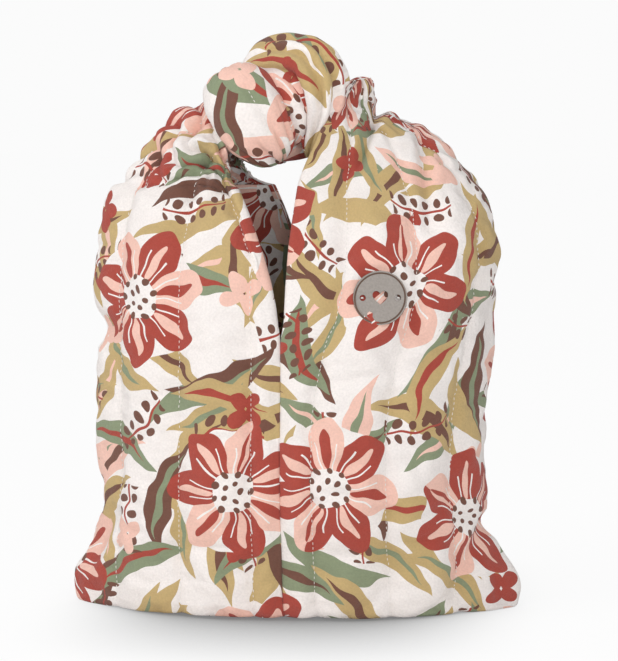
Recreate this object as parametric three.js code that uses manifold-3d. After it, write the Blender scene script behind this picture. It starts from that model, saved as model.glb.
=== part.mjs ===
// Japanese knot bag: a quilted cotton bag with a long loop on the right and a short loop on
// the left, tied through each other above a V-shaped mouth.
// Millimetres, +Z up. The origin is on the floor under the middle of the base, -Y is the front.
import * as THREE from 'three';
import * as BufferGeometryUtils from 'three/addons/utils/BufferGeometryUtils.js';
import Module from 'manifold-3d';

// Widths of the body across X, from the flat ears of the base up to the shoulders.
const BASE_WIDTH = 236;
const WAIST_WIDTH = 212;
const CHEST_WIDTH = 214;
const SHOULDER_WIDTH = 175;

// Depths of the filled body along Y at the same stations.
const BASE_DEPTH = 94;
const WAIST_DEPTH = 114;
const CHEST_DEPTH = 104;
const SHOULDER_DEPTH = 46;

// Heights of those stations, of the mouth and of the line where the handles bend.
const EAR_HEIGHT = 12;
const WAIST_HEIGHT = 58;
const CHEST_HEIGHT = 172;
const BEND_HEIGHT = 234;
const RIM_DROP = 4.5;
const MOUTH_FOOT_HEIGHT = 146;
const SHOULDER_ROLL_HEIGHT = 25;
const ROLL_GAP = 2.5;
const ROLL_END_WIDTH = 9;

// How far each side of the mouth leans away from the middle at the rim.
const LEFT_MOUTH_LEAN = 32;
const RIGHT_MOUTH_LEAN = 5;

// Layers of the quilted wall, and the air between neighbouring pieces.
const COVER_THICKNESS = 1.0;
const WADDING_THICKNESS = 4.0;
const LINING_THICKNESS = 0.8;
const CLEARANCE = 0.3;

// Quilting: upright lines of stitches, with the wadding swelling between them.
// The lines of the right panel lean outwards between two heights.
const QUILT_FIRST_LINE = 14;
const QUILT_PITCH = 40;
const QUILT_DEPTH = 3;
const QUILT_LEAN = 14.5;
const QUILT_LEAN_FOOT = 100;
const QUILT_LEAN_TOP = 195;
const QUILT_LEAST_GAP = 3.5;
const QUILT_SPAN = 2.85;
const BODY_TUCK = 6;
const EAR_DEEPENING = 2.0;

// Handle roots: where they sit along X and how wide they are.
const SHORT_ROOT_X = -56;
const SHORT_ROOT_WIDTH = 38;
const LONG_ROOT_X = 25;
const LONG_ROOT_WIDTH = 34;
const ROOT_CLEARANCE = 1.0;
const ROOT_TAPER = 1.4;

// The knot: the broad puffed strand in front, the loop end beside it and the arch on top.
const KNOT_X = -22;
const KNOT_RISE = 26;
const BALL_HEIGHT = 50;
const BALL_THICKNESS = 24;
const BIGHT_HEIGHT = 18;
const BIGHT_THICKNESS = 9;
const LINK_WIDTH = 22;
const LINK_THICKNESS = 12;
const ARCH_DEPTH = 30;
const ARCH_THICKNESS = 20;

// Round label sewn to the right front by a thread stitch in each of its two holes.
const LABEL_DIAMETER = 28;
const LABEL_THICKNESS = 1.8;
const LABEL_X = 51;
const LABEL_HEIGHT = 170;
const LABEL_HOLE_DIAMETER = 3.2;
const LABEL_HOLE_SPACING = 18;
const LABEL_RING_DIAMETER = 25.4;
const LABEL_RING_WIDTH = 0.7;
const LABEL_RING_DEPTH = 0.35;
const HEART_WIDTH = 8;
const HEART_HEIGHT = 7;
const THREAD_DIAMETER = 0.8;
const STITCH_SPAN = 1.2;

// Mesh density of the lofts.
const OUTLINE_STEPS = 64;
const STRAP_SIDES = 10;
const STRAP_STEPS_PER_SPAN = 2;
const ROUND_STEPS = 40;
const THREAD_STEPS = 14;

const wasm = await Module();
wasm.setup();

// A value that runs smoothly through its stations, by cubic interpolation over the height.
function smooth(positions, values) {
  const curve = new THREE.CubicInterpolant(positions, values, 1, new Float64Array(1));
  return (position) => curve.evaluate(position)[0];
}

const RIM_HEIGHT = BEND_HEIGHT - RIM_DROP;
const ROLL_TOP = BEND_HEIGHT + SHOULDER_ROLL_HEIGHT;
const NECK_HEIGHT = (CHEST_HEIGHT + BEND_HEIGHT) / 2;
const EAR_TOP = (EAR_HEIGHT + WAIST_HEIGHT) / 2;
const stationHeights = [
  0, EAR_HEIGHT, EAR_TOP, WAIST_HEIGHT, CHEST_HEIGHT, NECK_HEIGHT, BEND_HEIGHT, ROLL_TOP,
];
const NECK_WIDTH = 0.76 * CHEST_WIDTH + 0.24 * SHOULDER_WIDTH;
const NECK_DEPTH = 0.57 * CHEST_DEPTH + 0.43 * SHOULDER_DEPTH;
const halfWidth = smooth(stationHeights, [
  0.983 * BASE_WIDTH / 2, BASE_WIDTH / 2, 0.36 * BASE_WIDTH / 2 + 0.64 * WAIST_WIDTH / 2, WAIST_WIDTH / 2,
  CHEST_WIDTH / 2, NECK_WIDTH / 2, SHOULDER_WIDTH / 2, 0.66 * SHOULDER_WIDTH / 2,
]);
const halfDepth = smooth(stationHeights, [
  BASE_DEPTH / 2, 0.8 * BASE_DEPTH / 2 + 0.2 * WAIST_DEPTH / 2, (BASE_DEPTH + WAIST_DEPTH) / 4,
  WAIST_DEPTH / 2,
  CHEST_DEPTH / 2, NECK_DEPTH / 2, SHOULDER_DEPTH / 2, 0.7 * SHOULDER_DEPTH / 2,
]);
// Power that closes a section at its sides: near 1 is a pointed ear, 0.5 is round.
const sidePower = smooth(stationHeights, [0.85, 0.8, 0.58, 0.5, 0.5, 0.5, 0.5, 0.5]);
// Power that squares a section up: 2 is an ellipse, more is flatter in front.
const squareness = smooth(stationHeights, [2.5, 2.5, 2.5, 2.5, 2.5, 2.8, 3.4, 3.4]);

// Distance of the mouth's edge from the middle plane at a height, on the left or right panel.
function mouthEdge(side, z) {
  const seam = CLEARANCE / 2;
  if (z <= MOUTH_FOOT_HEIGHT) return seam;
  if (side > 0 && z > RIM_HEIGHT) {
    const rise = (z - RIM_HEIGHT) / (ROLL_TOP - RIM_HEIGHT);
    const rollFoot = LONG_ROOT_X + LONG_ROOT_WIDTH / 2 + ROLL_GAP;
    const rollEnd = halfWidth(ROLL_TOP) - ROLL_END_WIDTH;
    return rollFoot + (rollEnd - rollFoot) * rise;
  }
  const climb = (z - MOUTH_FOOT_HEIGHT) / (RIM_HEIGHT - MOUTH_FOOT_HEIGHT);
  const lean = side < 0 ? LEFT_MOUTH_LEAN : RIGHT_MOUTH_LEAN;
  return seam + lean * climb ** 1.35;
}

// Rows of a panel from the base seam, under the base and up the wall: height and share of the depth.
function panelRows(side) {
  const rows = [
    { z: 0, share: 0 }, { z: 0, share: 0.5 }, { z: 0, share: 0.86 },
    { z: EAR_HEIGHT * 0.35, share: 0.96 }, { z: EAR_HEIGHT, share: 1 },
    { z: (EAR_HEIGHT + EAR_TOP) / 2, share: 1 }, { z: EAR_TOP, share: 1 },
    { z: WAIST_HEIGHT, share: 1 }, { z: (WAIST_HEIGHT + MOUTH_FOOT_HEIGHT) / 2, share: 1 },
    { z: MOUTH_FOOT_HEIGHT, share: 1 }, { z: CHEST_HEIGHT, share: 1 },
    { z: (CHEST_HEIGHT + NECK_HEIGHT) / 2, share: 1 }, { z: NECK_HEIGHT, share: 1 },
    { z: (NECK_HEIGHT + RIM_HEIGHT) / 2, share: 1 }, { z: RIM_HEIGHT, share: 1 },
  ];
  if (side > 0) {
    rows.push({ z: RIM_HEIGHT + CLEARANCE, share: 1 });
    rows.push({ z: (RIM_HEIGHT + ROLL_TOP) / 2, share: 1 });
    rows.push({ z: ROLL_TOP, share: 1 });
  }
  return rows;
}

// Depth of a section, as a share of its middle depth, at a share of its half width.
function sectionBulge(z, across) {
  return Math.max(0, 1 - across ** squareness(z)) ** sidePower(z);
}

// One point of a panel layer: inset is how deep the layer lies under the outer face, and turn
// runs from the front edge (0) round the side to the back edge (1).
function panelPoint(side, inset, row, turn) {
  const earInset = THREE.MathUtils.lerp(EAR_DEEPENING, 1, Math.min(1, row.z / WAIST_HEIGHT));
  const tuck = BODY_TUCK * (1 - row.share);
  const a = halfWidth(row.z) - tuck - inset * earInset;
  const b = halfDepth(row.z) - inset;
  const edgeAngle = Math.asin(Math.min(0.98, mouthEdge(side, row.z) / a));
  const angle = edgeAngle + (Math.PI - 2 * edgeAngle) * turn;
  const across = Math.sin(angle);
  const bulge = sectionBulge(row.z, across);
  const depth = Math.max(b * row.share * bulge, CLEARANCE * 0.6 * Math.abs(Math.cos(angle)));
  return new THREE.Vector3(side * a * across, -Math.sign(Math.cos(angle)) * depth, Math.max(row.z, inset));
}

// Distances round the front half of a row: the edge, then each quilting line and the crown after
// it, up to the middle of the side. Where the girth shrinks, they draw together.
function quiltStops(side, z, halfGirth) {
  const edge = mouthEdge(side, z);
  const lean = QUILT_LEAN * THREE.MathUtils.smoothstep(z, QUILT_LEAN_FOOT, QUILT_LEAN_TOP);
  const fullGirth = QUILT_FIRST_LINE + QUILT_SPAN * QUILT_PITCH - (side < 0 ? edge : 0);
  const squeeze = Math.min(1, halfGirth / fullGirth);
  const lines = [0, 1, 2].map((k) => {
    const place = QUILT_FIRST_LINE + QUILT_PITCH * k + (side < 0 ? -edge : lean);
    return squeeze * Math.max(QUILT_LEAST_GAP * (k + 1), place);
  });
  const crowns = lines.map((line, k) => (line + (lines[k + 1] ?? halfGirth)) / 2);
  return [
    { distance: 0, depth: 0 },
    ...lines.flatMap((line, k) => [
      { distance: line, depth: QUILT_DEPTH }, { distance: crowns[k], depth: 0 },
    ]),
    { distance: halfGirth, depth: 0 },
  ];
}

// Columns of a row, from the front edge to the back edge: the turn and the depth of the quilting.
function quiltColumns(side, row) {
  const turns = Array.from({ length: OUTLINE_STEPS + 1 }, (_, i) => (0.5 * i) / OUTLINE_STEPS);
  const points = turns.map((turn) => panelPoint(side, 0, row, turn));
  const reach = [0];
  for (let i = 1; i < points.length; i += 1) reach.push(reach[i - 1] + points[i].distanceTo(points[i - 1]));
  const turnAt = new THREE.LinearInterpolant(reach, turns, 1, new Float64Array(1));
  const fade = Math.min(1, row.z / EAR_TOP);
  const front = quiltStops(side, row.z, reach.at(-1)).map(({ distance, depth }) => (
    { turn: turnAt.evaluate(distance)[0], depth: fade * depth }
  ));
  const back = front.slice(0, -1).reverse().map(({ turn, depth }) => ({ turn: 1 - turn, depth }));
  return [...front, ...back];
}

// One face of a panel layer; a quilted face sinks at the lines of stitches.
function panelGrid(side, inset, quilted) {
  return panelRows(side).map((row) => quiltColumns(side, row).map(({ turn, depth }) => (
    panelPoint(side, inset + (quilted ? depth : 0), row, turn)
  )));
}

function geometryFrom(positions, indices) {
  const geometry = new THREE.BufferGeometry();
  geometry.setAttribute('position', new THREE.Float32BufferAttribute(positions, 3));
  geometry.setIndex(indices);
  return geometry;
}

// Signed volume of an indexed mesh, to tell which way its faces point.
function signedVolume(positions, indices) {
  let volume = 0;
  const corner = (i) => new THREE.Vector3().fromArray(positions, 3 * indices[i]);
  for (let i = 0; i < indices.length; i += 3) {
    volume += corner(i).dot(corner(i + 1).cross(corner(i + 2))) / 6;
  }
  return volume;
}

// A closed shell between two grids of points with the same rows and columns.
// Where the columns close into rings, the last column joins the first.
function shellGeometry(outer, inner, ring) {
  const rows = outer.length;
  const columns = outer[0].length;
  const positions = [...outer.flat(), ...inner.flat()].flatMap((point) => point.toArray());
  const indices = [];
  const quad = (a, b, c, d) => indices.push(a, b, c, a, c, d);
  const outside = (r, c) => r * columns + (c % columns);
  const inside = (r, c) => rows * columns + outside(r, c);
  const spans = ring ? columns : columns - 1;
  for (let r = 0; r < rows - 1; r += 1) {
    for (let c = 0; c < spans; c += 1) {
      quad(outside(r, c), outside(r, c + 1), outside(r + 1, c + 1), outside(r + 1, c));
      quad(inside(r, c), inside(r + 1, c), inside(r + 1, c + 1), inside(r, c + 1));
    }
  }
  for (let c = 0; c < spans; c += 1) {
    quad(outside(0, c), inside(0, c), inside(0, c + 1), outside(0, c + 1));
    quad(outside(rows - 1, c), outside(rows - 1, c + 1), inside(rows - 1, c + 1), inside(rows - 1, c));
  }
  if (!ring) {
    for (let r = 0; r < rows - 1; r += 1) {
      quad(outside(r, 0), outside(r + 1, 0), inside(r + 1, 0), inside(r, 0));
      quad(outside(r, spans), inside(r, spans), inside(r + 1, spans), outside(r + 1, spans));
    }
  }
  if (signedVolume(positions, indices) < 0) indices.reverse();
  return geometryFrom(positions, indices);
}

// A solid through a row of rings, closed by a fan at each end.
function coreGeometry(rings) {
  const columns = rings[0].length;
  const middle = (ring) => {
    const sum = new THREE.Vector3();
    ring.forEach((point) => sum.add(point));
    return sum.divideScalar(columns);
  };
  const corners = [...rings.flat(), middle(rings[0]), middle(rings.at(-1))];
  const positions = corners.flatMap((point) => point.toArray());
  const indices = [];
  const first = rings.length * columns;
  for (let c = 0; c < columns; c += 1) {
    const next = (c + 1) % columns;
    for (let r = 0; r < rings.length - 1; r += 1) {
      const a = r * columns;
      const b = a + columns;
      indices.push(a + c, a + next, b + next, a + c, b + next, b + c);
    }
    const last = (rings.length - 1) * columns;
    indices.push(first, next, c, first + 1, last + c, last + next);
  }
  if (signedVolume(positions, indices) < 0) indices.reverse();
  return geometryFrom(positions, indices);
}

// Depths of the layers under the outer face of the quilted wall.
const WADDING_INSET = COVER_THICKNESS + CLEARANCE;
const LINING_INSET = WADDING_INSET + WADDING_THICKNESS + CLEARANCE;
const WALL = LINING_INSET + LINING_THICKNESS;

// A strap is swept through stations: a point, the direction of its width, its width and thickness.
function strapRings(stations, inset) {
  const path = new THREE.CatmullRomCurve3(stations.map((station) => station.point), false, 'centripetal');
  const places = stations.map((_, i) => i / (stations.length - 1));
  const run = (pick) => smooth(places, stations.map(pick));
  const widthAt = run((station) => station.width);
  const thicknessAt = run((station) => station.thickness);
  const across = ['x', 'y', 'z'].map((axis) => run((station) => station.across[axis]));
  const rings = [];
  const steps = STRAP_STEPS_PER_SPAN * (stations.length - 1);
  for (let i = 0; i <= steps; i += 1) {
    const place = i / steps;
    const centre = path.getPoint(place);
    const along = path.getTangent(place);
    const wide = new THREE.Vector3(...across.map((value) => value(place)));
    wide.projectOnPlane(along).normalize();
    const thick = new THREE.Vector3().crossVectors(along, wide);
    const ring = [];
    for (let k = 0; k < STRAP_SIDES; k += 1) {
      const angle = (2 * Math.PI * k) / STRAP_SIDES;
      const point = centre.clone();
      point.addScaledVector(wide, (widthAt(place) / 2 - inset) * Math.cos(angle));
      point.addScaledVector(thick, (thicknessAt(place) / 2 - inset) * Math.sin(angle));
      ring.push(point);
    }
    rings.push(ring);
  }
  return rings;
}

function station(x, y, z, across, width, thickness) {
  return { point: new THREE.Vector3(x, y, z), across: new THREE.Vector3(...across), width, thickness };
}

// Largest thickness of a strap's oval root that still clears the lining at the rim.
function rootRadius(x, width) {
  const reach = halfWidth(RIM_HEIGHT) - WALL;
  const depth = halfDepth(RIM_HEIGHT) - WALL;
  let room = depth;
  for (let share = -0.95; share < 1; share += 0.1) {
    const across = Math.min(1, Math.abs(x + (share * width) / 2) / reach);
    const free = depth * sectionBulge(RIM_HEIGHT, across) - ROOT_CLEARANCE;
    room = Math.min(room, (2 * free) / (1 + Math.sqrt(1 - share * share)));
  }
  return Math.hypot(room, RIM_DROP);
}

const SHORT_ROOT_RADIUS = rootRadius(SHORT_ROOT_X, SHORT_ROOT_WIDTH);
const LONG_ROOT_RADIUS = rootRadius(LONG_ROOT_X, LONG_ROOT_WIDTH);

// The root of a strap is half of a cylinder about the bend line, so that it turns inside the rim.
function rootStations(x, width, radius, face) {
  return [0.8, 0.45, 0].map((drop) => {
    const reach = radius * Math.sqrt(1 - drop * drop) - ROOT_TAPER * drop;
    const y = (face * (reach + CLEARANCE)) / 2;
    return station(x, y, BEND_HEIGHT - drop * radius, [1, 0, 0], width, reach - CLEARANCE);
  });
}

// The stations of the straps are drawn for a knot that rises 26 and grow with it.
const K = KNOT_RISE / 26;
const KNOT_HEIGHT = BEND_HEIGHT + KNOT_RISE;
const BALL_Y = LINK_THICKNESS / 2 + 2 * CLEARANCE + BALL_THICKNESS / 2;
const BIGHT_X = KNOT_X + LINK_WIDTH / 2 + BIGHT_THICKNESS / 2 + 3 * K;
const ARCH_HEIGHT = KNOT_HEIGHT + BIGHT_HEIGHT / 2 + ARCH_THICKNESS / 2 + 11 * K;
const LOWER_HEIGHT = KNOT_HEIGHT - BIGHT_HEIGHT / 2 - LINK_THICKNESS / 2 - 1.5 * K;

// Front (-1) or back (+1) strap of the short loop: neck, puffed strand, then the loop's end.
function shortStrap(face) {
  const neckX = SHORT_ROOT_X + 6 * K;
  const turnY = face * (BALL_Y - 6 * K);
  const down = [0, 0, -1];
  return [
    ...rootStations(SHORT_ROOT_X, SHORT_ROOT_WIDTH, SHORT_ROOT_RADIUS, face),
    station(neckX, face * 9 * K, BEND_HEIGHT + 12 * K, [0.75, 0, -0.66], 37 * K, 15 * K),
    station((neckX + KNOT_X) / 2, face * 15 * K, BEND_HEIGHT + 22 * K, [0.5, 0, -0.85], 38 * K, 18 * K),
    station(KNOT_X, face * BALL_Y, KNOT_HEIGHT, down, BALL_HEIGHT, BALL_THICKNESS),
    station(BIGHT_X - 6 * K, turnY, KNOT_HEIGHT + 3 * K, down, 27 * K, 10 * K),
    station(BIGHT_X, 0.45 * turnY, KNOT_HEIGHT + 4 * K, down, 1.06 * BIGHT_HEIGHT, BIGHT_THICKNESS),
    station(BIGHT_X, face * CLEARANCE / 2, KNOT_HEIGHT + 4 * K, down, BIGHT_HEIGHT, BIGHT_THICKNESS),
  ];
}

// Front strap of the long loop: it rises beside the arch, folds back and runs under the short loop.
function longFrontStrap() {
  const x = LONG_ROOT_X;
  const z = BEND_HEIGHT;
  const thin = 0.75 * LINK_THICKNESS;
  return [
    ...rootStations(LONG_ROOT_X, LONG_ROOT_WIDTH, LONG_ROOT_RADIUS, -1),
    station(x + 4 * K, 9 * K - LONG_ROOT_RADIUS, z + 16 * K, [1, 0, 0], 30 * K, 14 * K),
    station(x + 9 * K, -8 * K, z + 31 * K, [1, 0.1, 0], 20 * K, 13 * K),
    station(x + 6 * K, 9 * K, z + 39 * K, [0.8, 0.6, 0], 17 * K, 11 * K),
    station(x - 9 * K, 18 * K, z + 27 * K, [0.2, 0.97, 0], 14 * K, 11 * K),
    station(x - 21 * K, 13 * K, LOWER_HEIGHT + 2 * K, [-0.5, 0.9, 0], 13 * K, 11 * K),
    station(x - 33 * K, 3 * K, LOWER_HEIGHT, [-0.8, 0.6, 0], 12 * K, thin),
    station(KNOT_X + 4 * K, 0.5 * K, LOWER_HEIGHT + 3 * K, [-0.95, 0.3, 0], 14 * K, thin),
    station(KNOT_X, 0, KNOT_HEIGHT - 6 * K, [-1, 0, 0], 17 * K, 9.5 * K),
    station(KNOT_X, 0, KNOT_HEIGHT - CLEARANCE / 2, [-1, 0, 0], LINK_WIDTH, LINK_THICKNESS),
  ];
}

// Back strap of the long loop: it leans forward, arches over the short loop and drops through it.
function longBackStrap() {
  const x = LONG_ROOT_X;
  const top = ARCH_HEIGHT;
  return [
    ...rootStations(LONG_ROOT_X, LONG_ROOT_WIDTH, LONG_ROOT_RADIUS, 1),
    station(x - 5 * K, 6 * K, BEND_HEIGHT + 14 * K, [1, 0, 0.2], 18 * K, 11 * K),
    station(x - 13.5 * K, -3.5 * K, BEND_HEIGHT + 27 * K, [0.8, 0.6, 0], 15 * K, 12.5 * K),
    station(x - 12 * K, -9 * K, top - 15 * K, [0.1, 1, 0], 22 * K, 15 * K),
    station(x - 18 * K, -7 * K, top - 3 * K, [0, 1, 0], ARCH_DEPTH - 2 * K, ARCH_THICKNESS),
    station(x - 31 * K, -4 * K, top, [0, 1, 0], ARCH_DEPTH, ARCH_THICKNESS),
    station(KNOT_X + 5 * K, -1 * K, top - 8 * K, [-0.3, 0.9, 0], 20 * K, 14 * K),
    station(KNOT_X, 0, KNOT_HEIGHT + 7 * K, [-1, 0.1, 0], LINK_WIDTH, LINK_THICKNESS),
    station(KNOT_X, 0, KNOT_HEIGHT + CLEARANCE / 2, [-1, 0, 0], LINK_WIDTH, LINK_THICKNESS),
  ];
}

// A heart outline about its own middle.
function heartPath(width, height) {
  const path = new THREE.Path();
  const w = width / 2;
  const h = height / 2;
  path.moveTo(0, -h);
  path.bezierCurveTo(-0.55 * w, -0.45 * h, -w, -0.1 * h, -w, 0.42 * h);
  path.bezierCurveTo(-w, 1.15 * h, -0.15 * w, 1.2 * h, 0, 0.55 * h);
  path.bezierCurveTo(0.15 * w, 1.2 * h, w, 1.15 * h, w, 0.42 * h);
  path.bezierCurveTo(w, -0.1 * h, 0.55 * w, -0.45 * h, 0, -h);
  return path;
}

function toSolid(geometry) {
  const bare = geometry.clone();
  bare.deleteAttribute('normal');
  bare.deleteAttribute('uv');
  const merged = BufferGeometryUtils.mergeVertices(bare, 1e-4);
  const vertProperties = new Float32Array(merged.attributes.position.array);
  const triVerts = new Uint32Array(merged.index.array);
  return new wasm.Manifold(new wasm.Mesh({ numProp: 3, vertProperties, triVerts }));
}

function toGeometry(solid) {
  const mesh = solid.getMesh();
  return geometryFrom(Array.from(mesh.vertProperties), Array.from(mesh.triVerts));
}

// The label: a disc with two sewing holes, a heart cut-out and an engraved ring.
function labelGeometry() {
  const outline = new THREE.Shape();
  outline.absarc(0, 0, LABEL_DIAMETER / 2, 0, 2 * Math.PI);
  for (const side of [-1, 1]) {
    const hole = new THREE.Path();
    hole.absarc((side * LABEL_HOLE_SPACING) / 2, 0, LABEL_HOLE_DIAMETER / 2, 0, 2 * Math.PI, true);
    outline.holes.push(hole);
  }
  outline.holes.push(heartPath(HEART_WIDTH, HEART_HEIGHT));
  const disc = new THREE.ExtrudeGeometry(outline, {
    depth: LABEL_THICKNESS, bevelEnabled: false, curveSegments: ROUND_STEPS / 4,
  });
  const inner = LABEL_RING_DIAMETER / 2 - LABEL_RING_WIDTH / 2;
  const outer = inner + LABEL_RING_WIDTH;
  const floor = LABEL_THICKNESS - LABEL_RING_DEPTH;
  const top = LABEL_THICKNESS + LABEL_RING_DEPTH;
  const profile = [[inner, floor], [outer, floor], [outer, top], [inner, top], [inner, floor]];
  const groove = new THREE.LatheGeometry(profile.map(([r, y]) => new THREE.Vector2(r, y)), ROUND_STEPS);
  groove.rotateX(Math.PI / 2);
  return toGeometry(toSolid(disc).subtract(toSolid(groove)));
}

// A thread stitch: a small loop that stands in a sewing hole, towards the edge of the disc.
function threadGeometry(side) {
  const radius = STITCH_SPAN / 2;
  const outer = (LABEL_HOLE_SPACING + LABEL_HOLE_DIAMETER - THREAD_DIAMETER) / 2 - CLEARANCE;
  const middle = outer - radius;
  const foot = 0.1 * THREAD_DIAMETER;
  const shoulder = LABEL_THICKNESS - THREAD_DIAMETER / 2 - radius;
  const stops = [[outer, foot]];
  for (let turn = 0; turn <= Math.PI + 0.01; turn += Math.PI / 4) {
    stops.push([middle + radius * Math.cos(turn), shoulder + radius * Math.sin(turn)]);
  }
  stops.push([middle - radius, foot]);
  const path = new THREE.CatmullRomCurve3(stops.map(([x, z]) => new THREE.Vector3(side * x, 0, z)));
  const section = new THREE.Shape();
  section.absarc(0, 0, THREAD_DIAMETER / 2, 0, 2 * Math.PI);
  return new THREE.ExtrudeGeometry(section, {
    steps: THREAD_STEPS, curveSegments: 2, bevelEnabled: false, extrudePath: path,
  });
}

const cloth = () => new THREE.MeshStandardMaterial({ color: 0xe9d9cf, roughness: 0.95, metalness: 0 });
const filling = () => new THREE.MeshStandardMaterial({ color: 0xf3f1ea, roughness: 1, metalness: 0 });
const leatherette = () => new THREE.MeshStandardMaterial({ color: 0x9d9790, roughness: 0.8, metalness: 0 });
const thread = () => new THREE.MeshStandardMaterial({ color: 0xf5f2ee, roughness: 0.9, metalness: 0 });

const bag = new THREE.Group();

function addPiece(parent, name, geometry, material) {
  const mesh = new THREE.Mesh(geometry, material);
  mesh.name = name;
  parent.add(mesh);
  return mesh;
}

// The two sides of the body, each with its cover, wadding and lining.
for (const [name, side] of [['left', -1], ['right', 1]]) {
  const cover = shellGeometry(panelGrid(side, 0, true), panelGrid(side, COVER_THICKNESS, true), false);
  const waddingBack = panelGrid(side, WADDING_INSET + WADDING_THICKNESS, false);
  const wadding = shellGeometry(panelGrid(side, WADDING_INSET, true), waddingBack, false);
  const lining = shellGeometry(panelGrid(side, LINING_INSET, false), panelGrid(side, WALL, false), false);
  addPiece(bag, `${name}_outer_panel`, cover, cloth());
  addPiece(bag, `${name}_wadding`, wadding, filling());
  addPiece(bag, `${name}_lining`, lining, cloth());
}

// The label lies on the right front along the cloth's own slope.
const labelGroup = new THREE.Group();
const labelTurn = (height, x) => {
  const row = { z: height, share: 1 };
  let low = 0;
  let high = 0.5;
  for (let i = 0; i < 40; i += 1) {
    const turn = (low + high) / 2;
    if (panelPoint(1, 0, row, turn).x < x) low = turn;
    else high = turn;
  }
  return panelPoint(1, 0, row, (low + high) / 2);
};
const labelSeat = labelTurn(LABEL_HEIGHT, LABEL_X);
const labelRight = labelTurn(LABEL_HEIGHT, LABEL_X + 1).sub(labelSeat).normalize();
const labelUp = labelTurn(LABEL_HEIGHT + 1, LABEL_X).sub(labelSeat);
const labelOut = new THREE.Vector3().crossVectors(labelRight, labelUp).normalize();
labelUp.crossVectors(labelOut, labelRight);
labelGroup.quaternion.setFromRotationMatrix(new THREE.Matrix4().makeBasis(labelRight, labelUp, labelOut));
labelGroup.position.copy(labelSeat).addScaledVector(labelOut, CLEARANCE);
addPiece(labelGroup, 'label_disc', labelGeometry(), leatherette());
addPiece(labelGroup, 'label_thread_left', threadGeometry(-1), thread());
addPiece(labelGroup, 'label_thread_right', threadGeometry(1), thread());
bag.add(labelGroup);

// The straps: an open-ended cover round a core of wadding.
const straps = {
  short_handle_front: shortStrap(-1),
  short_handle_back: shortStrap(1),
  long_handle_front: longFrontStrap(),
  long_handle_back: longBackStrap(),
};
for (const [name, stations] of Object.entries(straps)) {
  const cover = shellGeometry(strapRings(stations, 0), strapRings(stations, COVER_THICKNESS), true);
  addPiece(bag, `${name}_cover`, cover, cloth());
  const core = coreGeometry(strapRings(stations, WADDING_INSET + CLEARANCE));
  addPiece(bag, `${name}_wadding`, core, filling());
}

export default bag;
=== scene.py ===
# %% [markdown]
# # A japanese knot bag in quilted cotton
# The bag is two quilted walls, left and right, sewn together down the middle of the front and
# the back. Each wall runs up into a loop, and the long loop is drawn through the short one.
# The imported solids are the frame: every new piece takes its place and size from them.

import math
from functools import partialmethod

import bmesh
import bpy
import numpy as np
from mathutils import Matrix, Vector, noise
from mathutils.bvhtree import BVHTree


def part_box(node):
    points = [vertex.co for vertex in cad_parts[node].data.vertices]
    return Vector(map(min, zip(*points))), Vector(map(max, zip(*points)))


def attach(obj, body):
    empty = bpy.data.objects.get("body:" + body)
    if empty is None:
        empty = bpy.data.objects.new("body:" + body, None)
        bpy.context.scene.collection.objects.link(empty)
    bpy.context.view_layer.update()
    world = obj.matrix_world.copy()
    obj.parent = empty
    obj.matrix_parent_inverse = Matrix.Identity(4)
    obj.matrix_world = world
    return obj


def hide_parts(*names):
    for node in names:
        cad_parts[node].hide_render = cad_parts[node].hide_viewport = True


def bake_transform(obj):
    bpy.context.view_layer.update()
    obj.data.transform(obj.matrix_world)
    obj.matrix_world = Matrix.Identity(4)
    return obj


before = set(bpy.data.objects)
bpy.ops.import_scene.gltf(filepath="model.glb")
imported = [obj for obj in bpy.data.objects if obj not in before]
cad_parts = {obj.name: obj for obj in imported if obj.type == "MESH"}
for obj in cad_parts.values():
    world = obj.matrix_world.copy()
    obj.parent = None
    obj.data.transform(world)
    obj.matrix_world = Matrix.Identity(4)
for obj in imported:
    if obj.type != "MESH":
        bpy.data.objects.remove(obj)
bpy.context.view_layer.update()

# %% [markdown]
# ## Camera and light
# The photograph was taken from a little to the right of the front and a little above it, with a
# long lens. A narrow field of view keeps the upright edges upright. The light is soft and even:
# a bright world does most of the work, a broad lamp on the left gives the forms a lit side, and
# a weaker one lifts the front.

# %% Camera
AIM = Vector((0.0, 0.0, 0.1475))
AZIMUTH = math.radians(9.5)
ELEVATION = math.radians(6.0)
DISTANCE = 1.40


def add_object(name, data):
    thing = bpy.data.objects.new(name, data)
    bpy.context.collection.objects.link(thing)
    return thing


def place_and_aim(thing, place):
    thing.location = place
    thing.rotation_euler = (AIM - thing.location).to_track_quat("-Z", "Y").to_euler()


camera_data = bpy.data.cameras.new("camera")
camera_data.sensor_fit = "VERTICAL"
camera_data.sensor_height = 36
camera_data.lens = 143.0
camera_data.shift_x = 0.018
camera_data.clip_end = 20
camera = add_object("camera", camera_data)
place_and_aim(camera, AIM + DISTANCE * Vector((
    math.sin(AZIMUTH) * math.cos(ELEVATION),
    -math.cos(AZIMUTH) * math.cos(ELEVATION),
    math.sin(ELEVATION),
)))
scene = bpy.context.scene
scene.camera = camera
scene.view_settings.view_transform = "Standard"
print("camera at", tuple(round(v, 3) for v in camera.location))

# %% [markdown]
# ## Sums that a material works out
# A material is a few sums, worked out at every point of a surface. Each sum is a Math node, and
# a long chain of them is hard to read as links. The small class here lets them be written like
# sums of plain numbers, and its signs add the Math nodes.

# %% Helpers for materials
def linear(red, green, blue):
    """A colour as a screen shows it, from 0 to 255, in the numbers that light is added in."""
    parts = [c / 255 for c in (red, green, blue)]
    parts = [c / 12.92 if c <= 0.04045 else ((c + 0.055) / 1.055) ** 2.4 for c in parts]
    return (*parts, 1.0)


def new_material(name):
    material = bpy.data.materials.new(name)
    material.use_nodes = True
    shader = material.node_tree.nodes["Principled BSDF"]
    return material, material.node_tree, shader


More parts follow.
